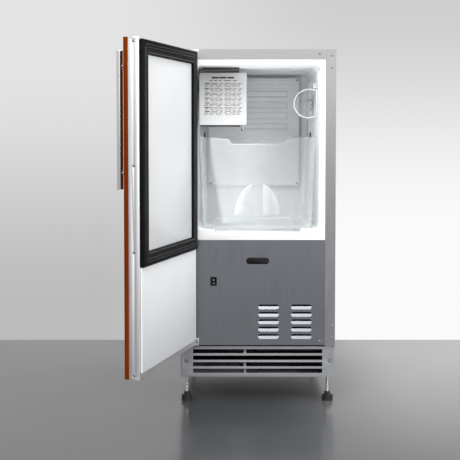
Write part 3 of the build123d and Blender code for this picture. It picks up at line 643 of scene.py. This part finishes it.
words = greeked_words()
ink = moulded("label_ink", (0.02, 0.02, 0.022), 0.6, grain=700, depth=0.00001)
label_x, label_y, lead_x = -85, 124.68, -126.5
odd_rows, even_rows = [784, 759.4, 734.8, 713], [771.7, 747.1, 723.5]
blocks = [
    ("label_heading", [802], dict(Rows=1, Words=3, Word=0.022, Thick=0.0044, Shortest=0.8)),
    ("label_subheading", [794.5], dict(Rows=1, Words=6, Word=0.0125, Thick=0.0018)),
    ("label_text_a", odd_rows, dict(Word=0.0118, Thick=0.0012, Seed=3)),
    ("label_text_b", even_rows, dict(Word=0.0118, Thick=0.0012, Seed=11)),
]
for name, heights, sizes in blocks:
    words.grow(
        name,
        [(label_x, label_y, z) for z in heights],
        ink,
        "label_paper",
        "cabinet",
        Turn=towards_front,
        **sizes,
    )
words.grow(
    "label_lead_words",
    [(lead_x, label_y - 0.03, z + 3.4) for z in sorted(odd_rows + even_rows, reverse=True)],
    ink,
    "label_paper",
    "cabinet",
    Rows=1,
    Words=1,
    Word=0.0118,
    Thick=0.0025,
    Shortest=0.9,
    Turn=towards_front,
)

mark_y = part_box("power_rocker")[0][1] / mm - 0.05
for name, z, wide, tall in (
    ("switch_mark_on", 304.5, 0.0016, 0.0034),
    ("switch_mark_off", 296.5, 0.0042, 0.0012),
):
    words.grow(
        name,
        [(-107.4, mark_y, z)],
        looks["label_paper"],
        "rocker_black",
        "rocker",
        Rows=1,
        Words=1,
        Word=wide,
        Thick=tall,
        Shortest=0.9,
        Turn=towards_front,
    )


# ---------------------------------------------------------------- cold plate and bin


def stucco():
    """Small flattened domes on a grid that stands on X and Z at each point."""
    tree = Pattern(
        "stucco",
        Wide=0.23,
        High=0.27,
        Columns=24,
        Rows=28,
        Radius=0.003,
        Flat=0.25,
        Turn=(0.0, 0.0, 0.0),
    )
    size = tree.size
    grid = tree.node(
        "MeshGrid",
        {
            "Size X": size["Wide"],
            "Size Y": size["High"],
            "Vertices X": size["Columns"],
            "Vertices Y": size["Rows"],
        },
    ).outputs[0]
    dome = tree.node("MeshIcoSphere", {"Radius": size["Radius"], "Subdivisions": 2}).outputs[0]
    domes = tree.node(
        "InstanceOnPoints",
        {"Points": grid, "Instance": dome, "Scale": tree.vector(1.0, 0.62, size["Flat"])},
    ).outputs[0]
    turned = tree.node("FunctionNodeEulerToRotation", {0: size["Turn"]}).outputs[0]
    tree.end(tree.on_points(domes, Rotation=turned))
    return tree


domes = stucco()
sheet_y, tube_y = 398.5, 398.2
for name, x, z, wide, high, columns, rows in (
    ("cold_plate_domes_low", 0, 590, 0.216, 0.11, 25, 11),
    ("cold_plate_domes_high", 36, 797, 0.15, 0.022, 18, 3),
):
    domes.grow(
        name,
        [(x, sheet_y, z)],
        looks["cold_aluminium"],
        "cold_aluminium",
        "cabinet",
        Wide=wide,
        High=high,
        Columns=columns,
        Rows=rows,
        Turn=towards_front,
    )


def channel():
    """The raised refrigerant channel: a flat tube that runs to and fro up the plate."""
    middle, wide, low_z, rise, turns = 30, 62, 672, 15, 8
    curve = bpy.data.curves.new("channel", "CURVE")
    curve.dimensions = "3D"
    curve.bevel_depth = 0.0032
    curve.bevel_resolution = 3
    points = []
    for row in range(turns):
        z = low_z + row * rise
        ends = (-1, 1) if row % 2 == 0 else (1, -1)
        for end in ends:
            points.append((middle + end * wide, tube_y, z))
    path = curve.splines.new("POLY")
    path.points.add(len(points) - 1)
    for point, place in zip(path.points, points):
        point.co = (*(Vector(place) * mm), 1)
    source = bpy.data.objects.new("source", curve)
    bpy.context.scene.collection.objects.link(source)
    mesh = smoothed(plain(source), 50)
    return placed("cold_plate_channel", mesh, "cold_aluminium", "cabinet")


channel()


def pull_highlight_patch(name, side, start, end, look):
    """A hazy patch on the bin's arched pull, between two distances from its middle: a painted
    highlight standing in for the lights' reflection on the bulge.
    """
    half_x, half_y, half_z, base, wall_y = 56.5, 14, 78, 461, 26
    rows, columns, proud = 28, 12, 0.3
    heights = [0.02 + 0.95 * row / rows for row in range(rows + 1)]
    reaches = [half_x * math.sqrt(1 - up * up) * 0.985 for up in heights]
    verts, faces = [], []
    for up, reach in zip(heights, reaches):
        far = max(min(end, reach), start + 0.2)
        for column in range(columns + 1):
            x = start + (far - start) * column / columns
            bulge = max(1 - (x / half_x) ** 2 - up * up, 0)
            y = wall_y - half_y * math.sqrt(bulge) - proud
            verts.append(Vector((side * x, y, base + half_z * up)) * mm)
    for row in range(rows):
        if reaches[row] <= start + 0.3:
            break
        for column in range(columns):
            a = row * (columns + 1) + column
            quad = (a, a + 1, a + columns + 2, a + columns + 1)
            faces.append(quad if side > 0 else quad[::-1])
    mesh = bpy.data.meshes.new(name)
    mesh.from_pydata(verts, [], faces)
    source = bpy.data.objects.new("source", mesh)
    bpy.context.scene.collection.objects.link(source)
    wall = source.modifiers.new("wall", "SOLIDIFY")
    wall.thickness = 0.25 * mm
    wall.offset = 1
    piece = placed(name, smoothed(plain(source), 60), "clear_plastic", "bin")
    piece.data.materials[0] = look
    return piece


def edge_tube(name, route, thick, body, look):
    """A polished plastic edge: a round tube along a route."""
    curve = bpy.data.curves.new(name, "CURVE")
    curve.dimensions = "3D"
    curve.bevel_depth = thick * mm
    curve.bevel_resolution = 3
    path = curve.splines.new("POLY")
    path.use_cyclic_u = True
    path.points.add(len(route) - 1)
    for point, place in zip(path.points, route):
        point.co = (*(Vector(place) * mm), 1)
    source = bpy.data.objects.new("source", curve)
    bpy.context.scene.collection.objects.link(source)
    piece = placed(name, smoothed(plain(source), 60), "clear_plastic", body)
    piece.data.materials[0] = look


def bin_rim_and_highlight():
    """The rounded, polished rim of the bin, with its dip at the front; its plastic is hazier than
    the bin's and paints a highlight line along the rim.
    """
    half, front, rear, top, corner = 142.3, 19.2, 325.8, 652, 13
    slope_z, dip_z = 645.6, 634.6
    route = [(-half + 12, front, top - 1), (-72, front, slope_z), (-64, front, dip_z)]
    route += [(64, front, dip_z), (72, front, slope_z), (half - 12, front, top - 1)]
    for x, y, start in (
        (half - corner, front + corner, -90),
        (half - corner, rear - corner, 0),
        (-half + corner, rear - corner, 90),
        (-half + corner, front + corner, 180),
    ):
        for step in range(7):
            turn = math.radians(start + 15 * step)
            route.append((x + corner * math.cos(turn), y + corner * math.sin(turn), top))
    edge_tube("bin_rim_and_highlight", route, 0.9, "bin", rim_highlight_plastic)


def scoop_rims():
    """The scoop's slanted mouth and its closed end, each a thickened edge."""
    middle_x, middle_z, flat, end_y, lip_x, lip_y, steps = 129, 735, 146.4, 139, 145, 58, 48
    for name, radius, thick, slanted in (
        ("scoop_mouth", 35.6, 1.1, True),
        ("scoop_end", 33.6, 0.7, False),
    ):
        start = math.acos((flat - middle_x) / radius)
        route = []
        for step in range(steps + 1):
            turn = start + (2 * math.pi - 2 * start) * step / steps
            x = middle_x + radius * math.cos(turn)
            mouth_y = lip_y + (lip_x - x) * (34 / 53 if x < lip_x else 1.8)
            y = mouth_y if slanted else end_y
            route.append((x, y, middle_z + radius * math.sin(turn)))
        edge_tube(name, route, thick, "scoop", frosted)


frosted = clear("frosted_plastic", haze=0.6)
# Painted highlights on the bin's arched pull: these two plastics are hazier, so their patches show
# white where the lights reflect.
painted_highlight_satin = clear("painted_highlight_satin", haze=0.12)
painted_highlight_faint = clear("painted_highlight_faint", haze=0.045)
# Painted highlight: the rim's tube is hazier than the bin, so it shows a bright line along the rim.
rim_highlight_plastic = clear("rim_highlight_plastic", haze=0.12)
bin_rim_and_highlight()
scoop_rims()
# Painted highlights: the left patch is fainter, and the right one is split where its reflection has
# a gap.
pull_highlight_patch("bin_pull_highlight_left", -1, 13.4, 57, painted_highlight_faint)
pull_highlight_patch("bin_pull_highlight_right_inner", 1, 13.4, 32, painted_highlight_satin)
pull_highlight_patch("bin_pull_highlight_right_outer", 1, 34.2, 57, painted_highlight_satin)


# ---------------------------------------------------------------- studio


def floor():
    """The studio floor, slightly glossy; a little behind the object it slopes away. Its colour
    holds a painted pool of light, lighter to the right and far back.
    """
    mesh = bpy.data.meshes.new("studio_floor")
    near, far, wide, end, drop = -6.0, 0.78, 6.0, 7.0, -1.7
    corners = [(-wide, near, 0), (wide, near, 0), (wide, far, 0), (-wide, far, 0)]
    corners += [(wide, end, drop), (-wide, end, drop)]
    mesh.from_pydata(corners, [], [(0, 1, 2, 3), (3, 2, 4, 5)])
    ground = bpy.data.objects.new("studio_floor", mesh)
    bpy.context.scene.collection.objects.link(ground)
    surface = Surface("studio_floor", (0.06, 0.062, 0.065), 0.2, IOR=1.65)
    cloud = surface.noise(2.5, 2)
    x, y = surface.node("SeparateXYZ", {0: surface.place}).outputs[:2]
    # Painted light: a pool of light painted into the floor's colour, dark to the left and front,
    # lighter to the right and far back.
    painted_light_pool = surface.node(
        "Math",
        {0: surface.eased_span(x, 0.0, 0.42), 1: surface.eased_span(y, -0.8, 0.7)},
        operation="MULTIPLY",
    ).outputs[0]
    surface.color(surface.ramp(painted_light_pool, (0, (0.052, 0.054, 0.057)), (1, (0.36, 0.362, 0.366))))
    surface.roughness(surface.span(cloud, 0.17, 0.24, 0.3, 0.7))
    mesh.materials.append(surface.material)


def world():
    """A pale wall behind the object and a dimmer room in front, brightest overhead."""
    made = bpy.data.worlds.new("studio")
    bpy.context.scene.world = made
    made.use_nodes = True
    room = Nodes()
    room.tree = made.node_tree
    place = room.node("TexCoord").outputs["Generated"]
    x, y, z = room.node("SeparateXYZ", {0: place}).outputs

    def graded(value, low, high, start, end):
        inputs = {0: value, 1: low, 2: high, 3: start, 4: end}
        return room.node("MapRange", inputs, interpolation_type="SMOOTHSTEP").outputs[0]

    def between(share, first, second):
        return room.node("Mix", {0: share, 2: first, 3: second}).outputs[0]

    left = graded(z, -0.17, 0.07, 0.50, 0.77)
    right = graded(z, -0.1, 0.13, 0.96, 0.62)
    wall = between(graded(x, -0.12, 0.12, 0.0, 1.0), left, right)
    front = between(graded(z, -0.36, -0.28, 1.0, 0.0), graded(z, -0.19, 0.05, 0.04, 0.84), 0.4)
    shade = between(graded(y, 0.0, 0.35, 0.0, 1.0), front, wall)
    tint = room.node("CombineColor", {0: shade, 1: shade, 2: shade}).outputs[0]
    room.tree.links.new(tint, room.tree.nodes["Background"].inputs["Color"])


def softbox(name, place, target, size, power):
    """A rectangular area light aimed at a point."""
    light = bpy.data.lights.new(name, "AREA")
    light.shape = "RECTANGLE"
    light.size, light.size_y = size
    light.energy = power
    lamp = bpy.data.objects.new(name, light)
    lamp.location = place
    lamp.rotation_euler = (Vector(target) - Vector(place)).to_track_quat("-Z", "Y").to_euler()
    bpy.context.scene.collection.objects.link(lamp)


def camera():
    """A nearly level camera on the right-hand part of the door, shifted down a little."""
    lens_data = bpy.data.cameras.new("camera")
    lens_data.sensor_width = 36
    lens_data.lens = 81.03
    lens_data.shift_x = 0.0051
    lens_data.shift_y = -0.1
    eye = bpy.data.objects.new("camera", lens_data)
    eye.location = (-0.0732, -2.5093, 0.6622)
    eye.rotation_euler = (math.radians(90 - 2.8245), 0, 0)
    bpy.context.scene.collection.objects.link(eye)
    bpy.context.scene.camera = eye


floor()
world()
softbox("key", (-0.6, -2.75, 2.9), (0, 0, 0.5), (2.4, 1.6), 92)
softbox("strip", (0.2, -3.3, 1.1), (0, 0, 0.8), (2.6, 0.55), 5)
softbox("fill", (2.2, -1.9, 1.1), (0, 0, 0.4), (1.4, 1.8), 46)
softbox("overhead", (0, 0.1, 2.6), (0, 0.2, 0.6), (2.0, 1.6), 25)
softbox("compartment_top", (0.04, 0.012, 0.8), (0.05, 0.4, 0.7), (0.2, 0.03), 0.085)
softbox("compartment_front", (-0.05, -0.004, 0.57), (0.13, 0.4, 0.6), (0.14, 0.26), 0.33)
bpy.context.scene.view_settings.view_transform = "Standard"
camera()
